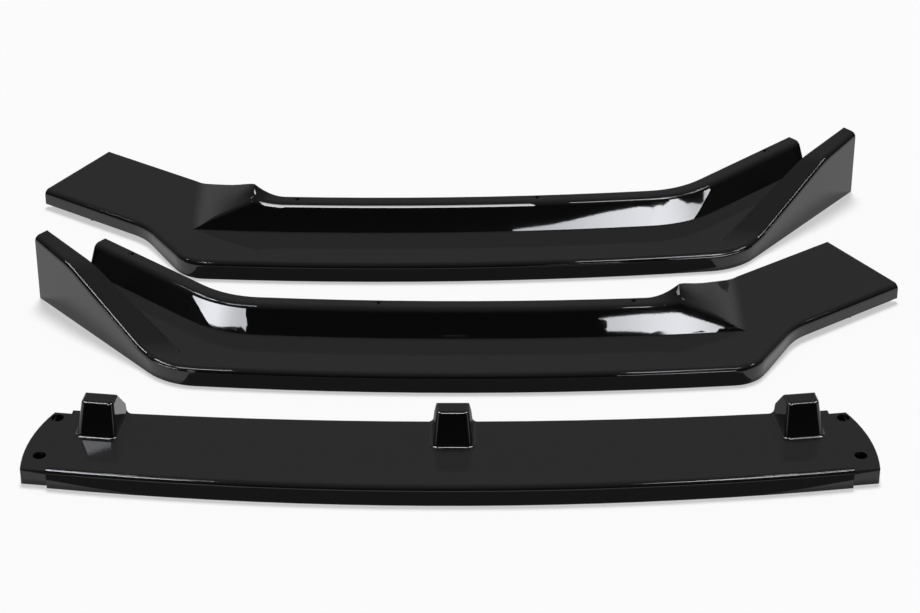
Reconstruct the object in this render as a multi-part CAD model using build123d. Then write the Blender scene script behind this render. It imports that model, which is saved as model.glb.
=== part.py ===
from build123d import *
import math
import os

# Front splitter lip in three mouldings, laid out apart on a level floor: a left and a right side section,
# mirror images of each other, and the centre section that joins them.
# Lengths are in millimetres and angles in degrees. In each section's own plan +X runs along its front edge
# and +Y runs back towards the car.

# Moulding shared by the three sections
lip_height = 17.0
wall = 3.0
edge_radius = 5.0
rib_thickness = 2.0
rib_clearance = 2.0
tolerance = 0.01

# Side section: front edge in plan
main_run = 475.0
main_bow = 12.5
bend_run = 74.0
bend_angle = 59.0
bend_inner_radius = 60.0
bend_outer_radius = 32.0
corner_radius = 60.0

# Side section: inner plate
plate_angle = 35.5
plate_length = 115.0
plate_width = 89.0
plate_back_run = 102.0
plate_lift = 3.5
plate_lift_taper = 45.0

# Side section: riser and screw flange, with depths measured back from the riser's foot
tread_depth = 55.5
riser_lean = 21.0
riser_top_radius = 6.0
riser_bend_x = 438.0
riser_bend_radius = 100.0
riser_leg_angle = 41.0
riser_leg_run = 152.0
ridge_run = 26.0
flange_height = 40.5
flange_depth = 20.5
flange_hole = 5.0
flange_hole_first = 94.0
flange_hole_pitch = 211.0
flange_hole_end_margin = 10.0

# Side section: shoulder between the plate and the flange
shoulder_height = 52.5
shoulder_x = 57.0
scoop_run = 27.0
ramp_start = 0.01
ramp_blend = 0.08
ramp_bulge = 0.5
ramp_crowding = 1.6
ramp_section_count = 6
scoop_section_count = 4

# Side section: outer fin
fin_angle = 49.0
fin_run = 183.0
fin_thickness = 12.5
fin_root_run = 12.0
fin_root_width = 24.0
fin_ramp_start = 26.0
fin_kink_y = 102.0
fin_kink_height = 54.0
fin_height = 60.0
fin_blend_radius = 40.0
fin_rear_chamfer = 2.0

# Lap joint between the side sections' plates and the centre section's tabs
tab_length = 21.0
tab_bulge = 6.0
tab_hole = 10.0
tab_hole_inset = 11.0
tab_hole_front = 23.0
tab_hole_back = 14.0
boss_diameter = 9.0
boss_bore = 3.5
stud_width = 5.5
stud_inset = 50.0
stud_back = 7.0
lap_clearance = 0.3

# Centre section
centre_run = 614.0
centre_bow = 23.5
centre_depth = 90.0
centre_back_bow = 16.0
centre_end_angle = 8.0
tab_hole_spacing = centre_depth - tab_hole_front - tab_hole_back

# Hooks on the centre section's rear edge
hook_width = 31.0
hook_depth = 38.0
hook_top_width = 25.0
hook_top_depth = 13.0
hook_lean = 9.0
hook_height = 28.0
hook_back_height = 8.0
hook_radius = 4.0
hook_crown_radius = 3.0
hook_foot_radius = 4.0
hook_spacing = 268.0
hook_shift = 2.0

# Ribs under the lip
side_rib_count = 6
centre_rib_count = 8

# Layout on the floor, measured from the middle of the centre section's front edge
left_x = -227.6
left_y = 339.1
left_turn = 1.8
right_x = 245.3
right_y = 169.9


def step(point, angle, run):
    """The point reached from another by a run at a plan angle."""
    turn = math.radians(angle)
    return Vector(point.X + run * math.cos(turn), point.Y + run * math.sin(turn))


def prism(face, low, high):
    """A plan face carried up between two heights."""
    return Pos(0, 0, low) * extrude(face, high - low)


def polygon(*points):
    """A plan face with straight sides."""
    return make_face(Polyline(*points, close=True))


def inset(face, amount):
    """A plan face drawn in from its edges."""
    return offset(face, -amount, kind=Kind.TANGENT)


def round_at(wire, point, radius):
    """A plan wire with one of its corners rounded."""
    return wire.fillet_2d(radius, wire.vertices().sort_by_distance(point)[:1])


def closest(start, end, point):
    """The foot of a point on the straight line through two others."""
    along = (end - start).normalized()
    return start + along * (point - start).dot(along)


# Plan points of the side section
bend_low = Vector(0, 0)
bend_high = step(bend_low, 180 - bend_angle, bend_run)
plate_front = step(bend_high, 180 - plate_angle, plate_length)
plate_back = step(plate_front, 90 - plate_angle, plate_width)
plate_heel = step(plate_back, -plate_angle, plate_back_run)
corner = Vector(main_run, 0)
fin_tip = step(corner, fin_angle, fin_run)
fin_heel = step(fin_tip, fin_angle + 90, fin_thickness)
fin_root = step(step(corner, fin_angle, fin_root_run), fin_angle + 90, fin_root_width)

# The riser's foot follows the front edge's arc at the tread's depth
main_radius = (main_run ** 2 / 4 + main_bow ** 2) / (2 * main_bow)
riser_radius = main_radius - tread_depth
riser_slope = math.tan(math.radians(riser_lean))
riser_thickness = wall / math.cos(math.radians(riser_lean))
riser_offset = (flange_height - lip_height) * riser_slope
flange_flat = riser_offset + riser_top_radius * math.tan(math.radians(45 - riser_lean / 2))


def riser_foot(x):
    """The riser's foot at a station on its long arc."""
    drop = math.sqrt(riser_radius ** 2 - (x - main_run / 2) ** 2)
    return Vector(x, main_radius - main_bow - drop)


def riser_back(x):
    """The level direction square to the riser's long arc, towards the car."""
    return (Vector(main_run / 2, main_radius - main_bow) - riser_foot(x)).normalized()


def section_back(x):
    """The level direction of a section, square to the riser's arc and fanned round to the plate's heel."""
    if x > shoulder_x:
        return riser_back(x)
    share = (x - plate_heel.X) / (shoulder_x - plate_heel.X)
    heel_back = (plate_heel - riser_foot(plate_heel.X)).normalized()
    return (heel_back * (1 - share) + riser_back(shoulder_x) * share).normalized()


def across_riser(x):
    """The upright plane of a section, with depths measured back from the riser's foot."""
    back = section_back(x)
    return Plane(riser_foot(x), x_dir=back, z_dir=back.cross(Vector(0, 0, 1)))


def flange_edge(x):
    """The flange's rear edge at a station on the long arc."""
    return riser_foot(x) + riser_back(x) * flange_depth


def riser_path(start_x):
    """Foot of the riser from a station on its long arc to its open end beside the fin."""
    start = riser_foot(start_x)
    knee = riser_foot(riser_bend_x)
    arc = ThreePointArc(start, riser_foot((start_x + riser_bend_x) / 2), knee)
    leg = Line(knee, step(knee, riser_leg_angle, riser_leg_run))
    return round_at(Wire([arc, leg]), knee, riser_bend_radius)


def front_edge(opening):
    """Front edge of the side section, from the plate's inner corner round to the fin's rear corner."""
    mouth = step(plate_front, 180 - plate_angle, opening)
    lines = [
        Line(mouth, bend_high),
        Line(bend_high, bend_low),
        ThreePointArc(bend_low, Vector(main_run / 2, -main_bow), corner),
        Line(corner, fin_tip),
    ]
    edge = Wire(lines)
    edge = round_at(edge, bend_high, bend_inner_radius)
    edge = round_at(edge, bend_low, bend_outer_radius)
    return round_at(edge, corner, corner_radius)


def side_plan(opening):
    """Plan of the side section; an opening carries it out past the plate's inner edge and the riser."""
    front = front_edge(opening)
    rear = riser_path(shoulder_x).offset_2d(wall / 2 + opening, side=Side.LEFT, closed=False)
    rear_inner, rear_outer = sorted([rear @ 0, rear @ 1], key=lambda point: point.X)
    channel_end = closest(fin_heel, fin_root, rear_outer)
    mouth_front = step(plate_front, 180 - plate_angle, opening)
    mouth_back = step(plate_back, 180 - plate_angle, opening)
    back = [
        Polyline(fin_tip, fin_heel, channel_end, rear_outer),
        Polyline(rear_inner, flange_edge(shoulder_x), plate_heel, mouth_back, mouth_front),
    ]
    return make_face(front.edges() + rear.edges() + back[0].edges() + back[1].edges())


def fin_plan():
    """Plan of the fin, wide where it rises from the tread and narrow at its rear edge."""
    return polygon(corner, fin_tip, fin_heel, fin_root) & side_plan(0)


def fin_slope(drop):
    """Everything below the fin's top: a ramp off the tread, a kink, then a gentler rise to the rear."""
    far = fin_heel.Y + fin_run
    grade = (fin_height - fin_kink_height) / (fin_tip.Y - fin_kink_y)
    ramp = Vector(fin_ramp_start, lip_height - drop)
    kink = Vector(fin_kink_y, fin_kink_height - drop)
    end = Vector(far, kink.Y + grade * (far - kink.X))
    top = Wire(Polyline(Vector(-far, ramp.Y), ramp, kink, end).edges())
    top = round_at(top, ramp, fin_blend_radius)
    top = round_at(top, kink, fin_blend_radius)
    sides = Polyline(end, Vector(far, -wall), Vector(-far, -wall), Vector(-far, ramp.Y))
    return extrude(Plane.YZ * make_face(top.edges() + sides.edges()), 2 * main_run)


def riser_profile():
    """Section of the sheet that turns up from the tread and back into the flange."""
    low = lip_height - wall
    high = flange_height - wall
    foot = Vector(0, lip_height)
    brow = Vector(riser_offset, flange_height)
    inner_brow = Vector(riser_offset - wall * riser_slope + riser_thickness, high)
    inner_foot = Vector(riser_thickness - wall * riser_slope, low)
    outline = polygon(
        Vector(-wall, low),
        Vector(-wall, lip_height),
        foot,
        brow,
        Vector(flange_depth, flange_height),
        Vector(flange_depth, high),
        inner_brow,
        inner_foot,
    )
    return fillet(outline.vertices().sort_by_distance(brow)[0], riser_top_radius)


def riser():
    """Riser and flange from the shoulder on, with the flange stopping short of the riser's open end."""
    start = shoulder_x + scoop_run
    path = riser_path(start)
    sheet = sweep(across_riser(start) * riser_profile(), path=path)
    end = Plane(path @ 1, x_dir=path % 1, z_dir=(0, 0, 1))
    cut_height = 2 * wall + flange_height - lip_height
    cut = Box(2 * ridge_run, flange_depth, cut_height, align=(Align.CENTER, Align.MIN))
    return sheet - end * Pos(0, flange_flat, flange_height) * cut


def shoulder_form(x):
    """Heights of the shoulder's front and rear edges above the tread, and its depth, at a station."""
    front_rise = flange_height - lip_height
    crest_rise = shoulder_height - lip_height
    if x < shoulder_x:
        share = max((x - plate_heel.X) / (shoulder_x - plate_heel.X), ramp_start)
        rise = share ** 2 * (1 + ramp_blend) / (share + ramp_blend)
        edge = flange_edge(shoulder_x) - plate_heel
        gap = plate_heel - riser_foot(x)
        back = section_back(x)
        depth = (gap.X * edge.Y - gap.Y * edge.X) / (back.X * edge.Y - back.Y * edge.X)
        return front_rise * rise * (1 + ramp_bulge * (1 - rise)), crest_rise * rise, depth
    fade = 1 - (x - shoulder_x) / scoop_run
    return front_rise, front_rise + (crest_rise - front_rise) * fade ** 2, flange_depth


def shoulder_section(x):
    """Section of the shoulder, with its brow rounded as much as it has risen."""
    front_rise, rear_rise, depth = shoulder_form(x)
    share = front_rise / (flange_height - lip_height)
    low = lip_height - wall / 2
    foot = Vector(0, lip_height)
    brow = Vector(front_rise * riser_slope, lip_height + front_rise)
    outline = polygon(
        Vector(-wall, low),
        Vector(-wall, lip_height),
        foot,
        brow,
        Vector(depth, lip_height + rear_rise),
        Vector(depth, low),
    )
    outline = fillet(outline.vertices().sort_by_distance(brow)[0], riser_top_radius * share)
    return across_riser(x) * outline


def shoulder_hollow(x, rear):
    """Section of the space under the shoulder, a wall inside its faces, to a distance past its rear edge."""
    front_rise, rear_rise, depth = shoulder_form(x)
    high = lip_height - wall

    def front(z):
        return Vector(riser_thickness + (z - lip_height) * riser_slope, z)

    back_low = Vector(depth + rear, -wall)
    back_high = Vector(depth + rear, high + rear_rise)
    return across_riser(x) * polygon(front(-wall), front(high + front_rise), back_high, back_low)


def stations(start, end, count, crowding=1.0):
    """Stations from start to end, evenly spaced or crowded towards the start."""
    return [start + (index / (count - 1)) ** crowding * (end - start) for index in range(count)]


def shoulder():
    """The twisting rise from the flat plate to a sloping crest, and the concave run down to the flange."""
    rising = stations(plate_heel.X, shoulder_x, ramp_section_count, ramp_crowding)
    falling = stations(shoulder_x, shoulder_x + scoop_run, scoop_section_count)
    return [loft([shoulder_section(x) for x in run]) for run in (rising, falling)]


def shoulder_space():
    """The space under the shoulder, walled at the rear of the rise and open behind the run down."""
    rising = stations(plate_heel.X, shoulder_x - wall, ramp_section_count, ramp_crowding)
    falling = stations(shoulder_x, shoulder_x + scoop_run, scoop_section_count)
    closed = loft([shoulder_hollow(x, -wall) for x in rising])
    return [closed, loft([shoulder_hollow(x, wall) for x in falling])]


def plate_point(inward, back):
    """A point of the plate, measured from its front inner corner."""
    return step(step(plate_front, -plate_angle, inward), 90 - plate_angle, back)


def plate_relief():
    """The space under the plate, which stands clear of the floor and comes down to it along the bend."""
    end = plate_length + plate_lift_taper
    side = polygon(
        Vector(-plate_length, -wall),
        Vector(-plate_length, plate_lift),
        Vector(plate_length, plate_lift),
        Vector(end, 0),
        Vector(end, -wall),
    )
    along = step(Vector(0, 0), -plate_angle, 1)
    plane = Plane(plate_front, x_dir=along, z_dir=along.cross(Vector(0, 0, 1)))
    return extrude(plane * side, 2 * plate_width, both=True)


def bosses():
    """Screw bosses under the plate, which stand in the holes of the centre section's tab, and a foot stud."""
    upright = (Align.CENTER, Align.CENTER, Align.MIN)
    height = lip_height - wall / 2
    made = []
    for back in (tab_hole_front, tab_hole_front + tab_hole_spacing):
        post = Cylinder(boss_diameter / 2, height, align=upright)
        post -= Cylinder(boss_bore / 2, 2 * (height - wall))
        made.append(Pos(plate_point(tab_hole_inset, back)) * post)
    made.append(Pos(plate_point(stud_inset, stud_back)) * Box(stud_width, stud_width, height, align=upright))
    return made


def cross_ribs(face, stations, length):
    """Upright ribs across a section's underside, trimmed to its plan."""
    plan = inset(face, wall / 2)
    made = []
    for x in stations:
        strip = Pos(x, 0) * Rectangle(rib_thickness, length)
        made.append(prism(plan & strip, rib_clearance, lip_height - wall / 2))
    return made


def flange_holes():
    """Screw holes along the flange."""
    middle = (flange_flat + flange_depth) / 2
    path = riser_path(shoulder_x)
    end = path @ 1 - (path % 1) * (ridge_run + flange_hole_end_margin)
    along = (flange_hole_first, flange_hole_first + flange_hole_pitch)
    places = [riser_foot(x) + riser_back(x) * middle for x in along]
    places.append(end + (path % 1).cross(Vector(0, 0, -1)) * middle)
    return [Pos(place) * Pos(0, 0, flange_height) * Cylinder(flange_hole / 2, 4 * wall) for place in places]


def side_section():
    """One side moulding, with its plate at the left and its fin at the right."""
    plan = side_plan(0)
    front = front_edge(0)
    block = prism(plan, 0, lip_height) + (prism(fin_plan(), 0, 2 * fin_height) & fin_slope(0))
    rounded = []
    for edge in block.edges():
        middle = edge @ 0.5
        on_front = front.distance_to(Vector(middle.X, middle.Y)) < tolerance
        upright = abs((edge % 0.5).Z) > 1 - tolerance
        if on_front and middle.Z > lip_height - tolerance and not upright:
            rounded.append(edge)
    block = fillet(rounded, edge_radius)
    rear_top = block.edges().sort_by_distance((fin_tip + fin_heel) * 0.5 + Vector(0, 0, fin_height))[0]
    block = chamfer(rear_top, fin_rear_chamfer)
    hollow = inset(side_plan(2 * wall), wall)
    block -= prism(hollow, -wall, lip_height - wall)
    block -= prism(inset(fin_plan(), wall), -wall, 2 * fin_height) & fin_slope(wall)
    block += riser()
    block += shoulder()
    block -= shoulder_space()
    first = shoulder_x + scoop_run
    pitch = (riser_bend_x - first) / (side_rib_count - 1)
    block += cross_ribs(plan, [first + index * pitch for index in range(side_rib_count)], main_run)
    block -= plate_relief()
    block += bosses()
    block -= flange_holes()
    return block


# Plan points of the centre section's right end; the left end mirrors them
end_front = Vector(centre_run / 2, centre_bow)
end_back = Vector(0, centre_depth + centre_back_bow)
end_back.X = end_front.X - (end_back.Y - end_front.Y) * math.tan(math.radians(centre_end_angle))


def mirrored(point):
    """A point carried across the centre section's middle line."""
    return Vector(-point.X, point.Y)


def end_point(outward, back):
    """A point near the centre section's right end, measured from its front corner."""
    return step(step(end_front, centre_end_angle, outward), centre_end_angle + 90, back)


def centre_plan():
    """Crescent plan of the centre section between its two steps."""
    lines = [
        ThreePointArc(mirrored(end_front), Vector(0, 0), end_front),
        Line(end_front, end_back),
        ThreePointArc(end_back, Vector(0, centre_depth), mirrored(end_back)),
        Line(mirrored(end_back), mirrored(end_front)),
    ]
    return make_face(lines)


def tab_plan():
    """Plan of the right tab, set back from the lip's front face by the plate's wall."""
    run = (end_back - end_front).length
    front = end_point(tab_length, wall + lap_clearance)
    middle = end_point(tab_length - tab_bulge / 2 + tab_bulge, run / 2)
    back = end_point(tab_length - tab_bulge, run)
    root_front = end_point(-2 * wall, wall + lap_clearance)
    root_back = end_point(-2 * wall, run)
    lines = [
        Line(root_front, front),
        ThreePointArc(front, middle, back),
        Line(back, root_back),
        Line(root_back, root_front),
    ]
    return make_face(lines)


def tab():
    """Right tab: a hollow step, low enough for the plate to lie flush on it, with its two holes."""
    top = lip_height - wall - lap_clearance
    plan = tab_plan()
    made = prism(plan, 0, top) - prism(inset(plan, wall), -wall, top - wall)
    for back in (tab_hole_front, tab_hole_front + tab_hole_spacing):
        made -= Pos(end_point(tab_hole_inset, back)) * Cylinder(tab_hole / 2, 4 * lip_height)
    return made


def hook_form(skin, base, rear):
    """A tapering hook with its upright rear face at a given depth, drawn in by a skin."""
    top = lip_height + hook_height - skin
    shoulder = lip_height + hook_back_height - skin

    def lean(z):
        return (z - lip_height) / hook_height

    def front(z):
        return hook_lean * lean(z) - hook_depth + skin

    def half(z):
        return (hook_width + (hook_top_width - hook_width) * lean(z)) / 2 - skin

    crest = hook_lean + hook_top_depth - hook_depth - skin
    side = polygon((front(base), base), (front(top), top), (crest, top), (rear, shoulder), (rear, base))
    face = polygon((-half(base), base), (half(base), base), (half(top), top), (-half(top), top))
    along = extrude(Plane.YZ * side, hook_width, both=True)
    across = extrude(Plane.XZ * face, 2 * hook_depth, both=True)
    return along & across


def hook():
    """A hook with a rounded front and top, on a pad of the top sheet that it flares into."""
    low = lip_height - wall / 2
    top = lip_height + hook_height
    rear = wall / 2
    form = hook_form(0, low, rear)
    above = form.edges().filter_by(lambda edge: lip_height < (edge @ 0.5).Z < top - tolerance)
    corners = above.filter_by(lambda edge: (edge @ 0.5).Y < hook_lean - hook_depth - tolerance)
    form = fillet(corners, hook_radius)
    crown = form.edges().filter_by_position(Axis.Z, top - tolerance, top + tolerance)
    form = fillet(crown, hook_crown_radius)
    margin = hook_foot_radius + wall
    pad = Rectangle(hook_width + 2 * margin, hook_depth + margin + rear, align=(Align.CENTER, Align.MAX))
    form += prism(Pos(0, rear) * pad, low, lip_height)
    at_foot = form.edges().filter_by_position(Axis.Z, lip_height - tolerance, lip_height + tolerance)
    foot = at_foot.filter_by(lambda edge: abs((edge @ 0.5).X) < (hook_width + wall) / 2)
    foot = foot.filter_by(lambda edge: -hook_depth - wall / 2 < (edge @ 0.5).Y < 0)
    return fillet(foot, hook_foot_radius)


def hook_places():
    """The stations along the rear edge, each turned square to the front edge's arc."""
    front_radius = (centre_run ** 2 / 4 + centre_bow ** 2) / (2 * centre_bow)
    back_run = 2 * end_back.X
    back_radius = (back_run ** 2 / 4 + centre_back_bow ** 2) / (2 * centre_back_bow)
    places = []
    for x in (-hook_spacing, hook_shift, hook_spacing):
        rise = back_radius - math.sqrt(back_radius ** 2 - x ** 2)
        turn = math.degrees(math.asin(x / front_radius))
        places.append(Pos(x, centre_depth + rise) * Rot(0, 0, turn))
    return places


def centre_section():
    """The centre moulding: a hollow crescent with a tab at each end and three hooks."""
    plan = centre_plan()
    block = prism(plan, 0, lip_height)
    front = block.edges().filter_by_position(Axis.Z, lip_height, lip_height).sort_by(Axis.Y)[0]
    block = fillet(front, edge_radius)
    reach = prism(plan, 0, lip_height + 2 * hook_height)
    solid_hook = hook()
    for place in hook_places():
        block += place * solid_hook & reach
    block -= prism(inset(plan, wall), -wall, lip_height - wall)
    hollow_hook = hook_form(wall, -wall, -wall)
    for place in hook_places():
        block -= place * hollow_hook
    right_tab = tab()
    block += right_tab
    block += mirror(right_tab, Plane.YZ)
    pitch = centre_run / centre_rib_count
    stations = [(index + 0.5) * pitch - centre_run / 2 for index in range(centre_rib_count)]
    block += cross_ribs(plan, stations, 4 * centre_depth)
    return block


left_section = side_section()
right_section = mirror(left_section, Plane.YZ)
sections = {
    "left_section": Pos(left_x, left_y) * Rot(0, 0, left_turn) * left_section,
    "right_section": Pos(right_x, right_y) * right_section,
    "centre_section": centre_section(),
}

# The frame's origin is on the floor under the middle of the whole layout
boxes = [section.bounding_box() for section in sections.values()]
middle_x = (min(box.min.X for box in boxes) + max(box.max.X for box in boxes)) / 2
middle_y = (min(box.min.Y for box in boxes) + max(box.max.Y for box in boxes)) / 2

os.makedirs("parts", exist_ok=True)
for name, section in sections.items():
    placed = Pos(-middle_x, -middle_y) * section
    placed.label = name
    export_step(placed, f"parts/{name}.step")
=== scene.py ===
import bpy
import bmesh
import math
import numpy as np
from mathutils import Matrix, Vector


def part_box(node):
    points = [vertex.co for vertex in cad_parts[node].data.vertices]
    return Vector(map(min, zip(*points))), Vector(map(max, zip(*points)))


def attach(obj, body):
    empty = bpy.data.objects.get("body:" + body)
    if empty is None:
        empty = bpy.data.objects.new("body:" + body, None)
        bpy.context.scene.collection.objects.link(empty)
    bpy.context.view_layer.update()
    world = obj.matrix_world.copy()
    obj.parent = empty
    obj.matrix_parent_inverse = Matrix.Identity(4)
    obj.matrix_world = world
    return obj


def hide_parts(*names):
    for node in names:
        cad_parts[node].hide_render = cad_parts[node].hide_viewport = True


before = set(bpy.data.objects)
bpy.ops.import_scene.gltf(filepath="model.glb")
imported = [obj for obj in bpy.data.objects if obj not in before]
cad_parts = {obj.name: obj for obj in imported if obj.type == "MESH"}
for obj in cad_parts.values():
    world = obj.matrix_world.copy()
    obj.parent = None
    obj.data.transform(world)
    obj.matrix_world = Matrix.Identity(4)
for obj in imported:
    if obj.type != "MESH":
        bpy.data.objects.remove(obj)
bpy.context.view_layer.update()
scene = bpy.context.scene
scene.view_settings.view_transform = "Standard"
print("frame loaded:", ", ".join(sorted(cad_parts)))

white = (1, 1, 1, 1)
smoothStep = {"interpolation_type": "SMOOTHSTEP"}


# one output socket of a shader tree; arithmetic on it adds Math nodes
class Wire:
    def __init__(self, tree, socket):
        self.tree = tree
        self.socket = socket

    def math(self, operation, *values):
        return self.node("ShaderNodeMath", {"operation": operation}, *values)

    # any other node: its type, its settings, then the values or wires of its inputs, by place or by name
    def node(self, kind, settings=None, *values, out=0, **named):
        made = self.tree.nodes.new(kind)
        for key, value in (settings or {}).items():
            setattr(made, key, value)
        for key, value in list(enumerate(values)) + list(named.items()):
            if isinstance(value, Wire):
                self.tree.links.new(value.socket, made.inputs[key])
            else:
                made.inputs[key].default_value = value
        return Wire(self.tree, made.outputs[out])

    def into(self, socket):
        self.tree.links.new(self.socket, socket)

    def __add__(self, other): return self.math("ADD", self, other)
    def __radd__(self, other): return self.math("ADD", other, self)
    def __sub__(self, other): return self.math("SUBTRACT", self, other)
    def __rsub__(self, other): return self.math("SUBTRACT", other, self)
    def __mul__(self, other): return self.math("MULTIPLY", self, other)
    def __rmul__(self, other): return self.math("MULTIPLY", other, self)


# a wire that carries one of the Texture Coordinate node's outputs
def coordsOf(tree, kind):
    return Wire(tree, tree.nodes.new("ShaderNodeTexCoord").outputs[kind])


def newMaterial(name):
    material = bpy.data.materials.new(name)
    material.use_nodes = True
    shader = next(n for n in material.node_tree.nodes if n.type == "BSDF_PRINCIPLED")
    return material, shader


glossBlack = {
    "base": (0.0215, 0.0215, 0.0225, 1),
    "roughness": 0.016,
    "cloud": 9.0,              # slow drift of the polish, in waves per metre
    "cloudDetail": 3.0,
    "cloudRoughness": 0.012,
    "peel": 420.0,             # orange peel of the moulded skin, in waves per metre
    "peelDetail": 1.0,
    "peelStrength": 0.25,
    "peelDepth": 0.000006,
    "satin": 0.32,             # roughness that the tool's unpolished side adds, underneath
    "satinFrom": -0.25,        # the normal's z where that starts
    "satinFull": -0.5,         # and where it is full
}


def makeGlossBlack(look):
    material, shader = newMaterial("gloss_black_abs")
    place = coordsOf(material.node_tree, "Object")
    cloud = place.node("ShaderNodeTexNoise", Vector=place, Scale=look["cloud"], Detail=look["cloudDetail"])
    peel = place.node("ShaderNodeTexNoise", Vector=place, Scale=look["peel"], Detail=look["peelDetail"])
    normal = place.node("ShaderNodeNewGeometry", out=1)
    facing = place.node("ShaderNodeSeparateXYZ", None, normal, out=2)
    under = place.node("ShaderNodeMapRange", None, facing, look["satinFrom"], look["satinFull"], 0.0, 1.0)
    rough = look["roughness"] + look["cloudRoughness"] * cloud + look["satin"] * under
    rough.into(shader.inputs["Roughness"])
    bump = place.node("ShaderNodeBump", Strength=look["peelStrength"], Distance=look["peelDepth"], Height=peel)
    bump.into(shader.inputs["Normal"])
    shader.inputs["Base Color"].default_value = look["base"]
    return material


glossMaterial = makeGlossBlack(glossBlack)
print("finish made:", glossMaterial.name)

mouldingSet = {"sections": ("left_section", "right_section", "centre_section"), "mergeWithin": 0.000002}


# each moulding: its solid's faces merged into one skin, which keeps the solid's own smooth normals
def makeMoulding(name):
    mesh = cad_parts[name].data.copy()
    mesh.name = name + "_moulding"
    normals = np.empty(3 * len(mesh.loops))
    mesh.corner_normals.foreach_get("vector", normals)
    work = bmesh.new()
    work.from_mesh(mesh)
    bmesh.ops.remove_doubles(work, verts=work.verts, dist=mouldingSet["mergeWithin"])
    work.to_mesh(mesh)
    work.free()
    mesh.normals_split_custom_set(normals.reshape(-1, 3))
    mesh.materials.clear()
    mesh.materials.append(glossMaterial)
    moulding = bpy.data.objects.new(name + "_moulding", mesh)
    scene.collection.objects.link(moulding)
    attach(moulding, "root")
    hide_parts(name)
    return moulding


mouldings = {name: makeMoulding(name) for name in mouldingSet["sections"]}
print("mouldings dressed")

# the camera's place is counted from the middle of the centre section's front
cameraSet = {"lens": 109.565, "sensor": 36, "pitch": 59, "offset": (0.00754, -1.73235, 1.2164)}
centreLow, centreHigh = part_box("centre_section")
frontMiddle = Vector(((centreLow[0] + centreHigh[0]) / 2, centreLow[1], 0))
cameraData = bpy.data.cameras.new("camera")
cameraData.sensor_width = cameraSet["sensor"]
cameraData.lens = cameraSet["lens"]
camera = bpy.data.objects.new("camera", cameraData)
camera.location = frontMiddle + Vector(cameraSet["offset"])
camera.rotation_euler = (math.radians(cameraSet["pitch"]), 0, 0)
scene.collection.objects.link(camera)
scene.camera = camera
print("camera at", tuple(round(v, 4) for v in camera.location))


# a flat stage piece from its corners, run round in order
def makeSheet(name, corners):
    mesh = bpy.data.meshes.new(name)
    mesh.from_pydata(np.array(corners, dtype=float), [], [tuple(range(len(corners)))])
    sheet = bpy.data.objects.new(name, mesh)
    scene.collection.objects.link(sheet)
    return sheet


# the corners of a level rectangle
def levelCorners(x0, x1, y0, y1, z):
    return [(x0, y0, z), (x1, y0, z), (x1, y1, z), (x0, y1, z)]


def makePaper(name, look):
    material, shader = newMaterial(name)
    shader.inputs["Base Color"].default_value = look["colour"]
    shader.inputs["Roughness"].default_value = look["roughness"]
    return material, shader


# white paper that glows a little, so that shadows on it stay light
floorSet = {"reach": 30, "colour": (0.45, 0.45, 0.45, 1), "roughness": 0.9, "glow": 0.5}
reach = floorSet["reach"]
floor = makeSheet("floor", levelCorners(-reach, reach, -reach, reach, 0))
floorMaterial, floorShader = makePaper("floor_paper", floorSet)
floorShader.inputs["Specular IOR Level"].default_value = 0.0
floorShader.inputs["Emission Color"].default_value = white
floorShader.inputs["Emission Strength"].default_value = floorSet["glow"]
floor.data.materials.append(floorMaterial)
floor.visible_diffuse = False

# dark paper under the tabs, painted shade: it stands in for the shade inside the tabs and shows through their
# holes, where the glowing floor would show; left, right, front, back
tabShadePaper = {
    "colour": (0.01, 0.01, 0.01, 1),
    "roughness": 0.9,
    "lift": 0.0004,
    "spots": {"tab_left": (-0.330, -0.306, -0.236, -0.165), "tab_right": (0.2925, 0.3165, -0.236, -0.165)},
}
paintedShadeMaterial, _ = makePaper("dark_paper", tabShadePaper)
for name, spot in tabShadePaper["spots"].items():
    paper = makeSheet(name + "_paper", levelCorners(*spot, tabShadePaper["lift"]))
    paper.data.materials.append(paintedShadeMaterial)

# lamps that the gloss doesn't mirror: strength, width and tilt in degrees
suns = {"key": (3.0, 18, -22), "fill": (0.4, 170, 0)}
for name, (strength, width, tilt) in suns.items():
    data = bpy.data.lights.new(name, "SUN")
    data.energy = strength
    data.angle = math.radians(width)
    sun = bpy.data.objects.new(name, data)
    sun.rotation_euler = (math.radians(tilt), 0, 0)
    sun.visible_glossy = False
    scene.collection.objects.link(sun)
print("floor laid, lamps hung")


# keeps a light to one moulding, as a flag does in a studio
def lightOnly(light, name):
    group = bpy.data.collections.new(light.name + "_lights")
    group.objects.link(mouldings[name])
    light.light_linking.receiver_collection = group


# a panel that only the gloss mirrors; its fade gives, along x, its start, brightest place and end, then how
# much of the glow is left at the start and end
def makePanel(name, corners, strength, colour, fade=None):
    panel = makeSheet(name, corners)
    material = bpy.data.materials.new(name)
    material.use_nodes = True
    tree = material.node_tree
    tree.nodes.clear()
    glow = tree.nodes.new("ShaderNodeEmission")
    glow.inputs["Color"].default_value = colour
    glow.inputs["Strength"].default_value = strength
    if fade:
        first, bright, last, dim = fade
        place = coordsOf(tree, "Object")
        along = place.node("ShaderNodeSeparateXYZ", None, place, out=0)
        rise = place.node("ShaderNodeMapRange", smoothStep, along, first, bright, dim, 1.0)
        fall = place.node("ShaderNodeMapRange", smoothStep, along, bright, last, 1.0, dim)
        (strength * rise * fall).into(glow.inputs["Strength"])
    end = tree.nodes.new("ShaderNodeOutputMaterial")
    tree.links.new(glow.outputs[0], end.inputs["Surface"])
    panel.data.materials.append(material)
    panel.visible_camera = False
    panel.visible_diffuse = False
    panel.visible_shadow = False
    return panel


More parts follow.
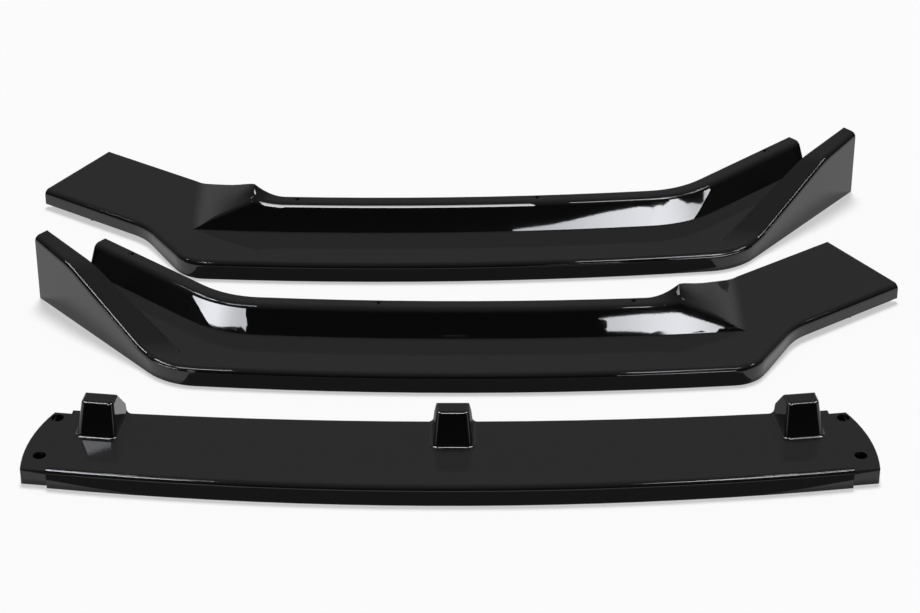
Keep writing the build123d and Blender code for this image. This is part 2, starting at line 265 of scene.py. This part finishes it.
# soft boxes overhead at both sides, seen in the rounded edges: their moulding, their outlines in x and y
softBox = {"glow": 20, "colour": (0.94, 0.955, 1.0, 1), "height": 2}
overhead = {
    "box_left": ("centre_section", (
        (-0.60, -1.0), (-0.637, -1.388), (-0.76, -1.607), (-0.85, -1.8), (-1.9, -1.8),
        (-2.7, -1.0), (-2.7, 0.35), (-2.05, 0.35), (-1.95, -0.40), (-1.05, -0.72))),
    "box_right": ("centre_section", (
        (0.42, -1.0), (0.474, -1.402), (0.724, -1.614), (0.85, -1.8), (1.9, -1.8),
        (2.7, -1.0), (2.7, 0.35), (2.05, 0.35), (1.95, -0.40), (1.05, -0.72))),
    "bow_right": ("left_section", (
        (0.42, -1.0), (0.474, -1.402), (0.70, -1.6), (1.9, -1.6), (1.9, -0.85), (1.05, -0.72))),
    "fin_right": ("left_section", ((1.9, -0.85), (2.8, -0.85), (2.8, 0.35), (2.05, 0.35), (1.95, -0.35))),
    "tip_left": ("left_section", (
        (-0.60, -0.95), (-0.637, -1.388), (-0.70, -1.55), (-1.18, -1.55), (-1.18, -0.80))),
    "plate_left": ("left_section", ((-2.5, -0.3), (-2.5, 0.1), (-1.95, 0.1), (-1.95, -0.3))),
    "bow_left": ("right_section", (
        (-0.60, -1.1), (-0.637, -1.388), (-0.70, -1.6), (-1.9, -1.6), (-1.9, -0.95), (-1.05, -0.82))),
    "fin_left": ("right_section", (
        (-1.9, -0.95), (-2.8, -0.95), (-2.8, 0.2), (-2.05, 0.2), (-1.95, -0.45))),
    "tip_right": ("right_section", (
        (0.44, -1.15), (0.474, -1.402), (0.60, -1.6), (1.18, -1.6), (1.18, -0.95), (0.7, -0.95))),
    "plate_right": ("right_section", ((2.5, -0.4), (2.5, 0.0), (1.95, 0.0), (1.95, -0.4))),
}
for name, (moulding, outline) in overhead.items():
    corners = [(x, y, softBox["height"]) for x, y in outline]
    lightOnly(makePanel(name, corners, softBox["glow"], softBox["colour"]), moulding)

# soft boxes that stand in front, each seen in one riser: its moulding, its place along y, its fade, and its
# outline in x and z
shaped = {
    "patch_left": ("left_section", -0.38, (0.12, 0.34, 1.3, 0.62), (
        (0.1062, 0.106), (5.7, 0.106), (5.7, 0.175), (2.9, 0.179), (1.5441, 0.164), (0.8865, 0.1602),
        (0.7285, 0.1625), (0.62, 0.17), (0.55, 0.16), (0.505, 0.1575), (0.45, 0.1525), (0.37, 0.1475),
        (0.2893, 0.1523), (0.2497, 0.1477), (0.2196, 0.1434), (0.1897, 0.1386), (0.1602, 0.1347),
        (0.1062, 0.1300))),
    "patch_right_outer": ("right_section", -0.5, (-2.6, -0.8, -0.38, 0.62), (
        (-0.347, 0.1065), (-0.36, 0.112), (-0.36, 0.14), (-0.7238, 0.14), (-1.64, 0.13),
        (-3.3, 0.09), (-3.4, 0.02), (-1.3042, 0.0887), (-0.5908, 0.1015))),
    "patch_right_inner": ("right_section", -0.5, (0.18, 0.29, 0.36, 0.7), (
        (0.1926, 0.1036), (0.2168, 0.1022), (0.2610, 0.0980), (0.3130, 0.0880), (0.3480, 0.0795),
        (0.3548, 0.0969), (0.3455, 0.1038), (0.3268, 0.1095), (0.3082, 0.1144), (0.2910, 0.1188),
        (0.2798, 0.1209), (0.1790, 0.1165), (0.1875, 0.1155), (0.1914, 0.1130), (0.1917, 0.1080),
        (0.1892, 0.1056))),
}
for name, (moulding, y, fade, outline) in shaped.items():
    corners = [(x, y, z) for x, z in outline]
    lightOnly(makePanel(name, corners, softBox["glow"], softBox["colour"], fade), moulding)

# dim boards on the floor before the front edges keep their faces black: how far they reach out in front and
# back under the edge, and their ends in x
boardSet = {"glow": 0.16, "lift": 0.0006, "out": 0.05, "under": 0.014}
boards = {
    "left_section": (-0.235, 0.225),
    "right_section": (-0.225, 0.24),
    "centre_section": (-0.345, 0.335),
}
for name, (x0, x1) in boards.items():
    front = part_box(name)[0][1]
    corners = levelCorners(x0, x1, front - boardSet["out"], front + boardSet["under"], boardSet["lift"])
    makePanel(name + "_board", corners, boardSet["glow"], white)

# one-sided strips that shine towards +Y: the moulding, the ends in x, the low and high edge in y and z,
# the glow, and the spread in degrees that keeps it off the edge right below
strips = {
    "brow_front": ("left_section", (-0.178, 0.076), (0.065, 0.070), (0.065, 0.160), 12, 140),
    "hook_left": ("centre_section", (-0.289, -0.261), (-0.262, 0.079), (-0.262, 0.099), 20, 180),
    "hook_middle": ("centre_section", (-0.019, 0.009), (-0.267, 0.079), (-0.267, 0.099), 20, 180),
    "hook_right": ("centre_section", (0.247, 0.275), (-0.262, 0.079), (-0.262, 0.099), 20, 180),
}
for name, (moulding, (x0, x1), (y0, z0), (y1, z1), glow, spread) in strips.items():
    data = bpy.data.lights.new(name, "AREA")
    data.shape = "RECTANGLE"
    data.spread = math.radians(spread)
    data.size = x1 - x0
    data.size_y = math.hypot(y1 - y0, z1 - z0)
    data.energy = glow * math.pi * data.size * data.size_y
    strip = bpy.data.objects.new(name, data)
    strip.location = ((x0 + x1) / 2, (y0 + y1) / 2, (z0 + z1) / 2)
    strip.rotation_euler = Vector((0, z1 - z0, y0 - y1)).to_track_quat("-Z", "Y").to_euler()
    strip.visible_camera = False
    strip.visible_diffuse = False
    scene.collection.objects.link(strip)
    lightOnly(strip, moulding)

# the room: white to the camera, and to the gloss dark but for a pale band low down behind
roomSet = {"low": 0.3, "high": 0.06, "back": (0.1, 0.6), "rise": (0.05, 0.5)}
world = bpy.data.worlds.new("studio")
scene.world = world
world.use_nodes = True
background = world.node_tree.nodes["Background"]
way = coordsOf(world.node_tree, "Generated")
back = way.node("ShaderNodeSeparateXYZ", None, way, out=1)
up = way.node("ShaderNodeSeparateXYZ", None, way, out=2)
behind = way.node("ShaderNodeMapRange", smoothStep, back, *roomSet["back"], 0.0, 1.0)
band = way.node("ShaderNodeMapRange", smoothStep, up, *roomSet["rise"], roomSet["low"], roomSet["high"])
seen = way.node("ShaderNodeLightPath", out=0)
(seen + (1.0 - seen) * behind * band).into(background.inputs["Strength"])
background.inputs["Color"].default_value = white
print("studio lit")
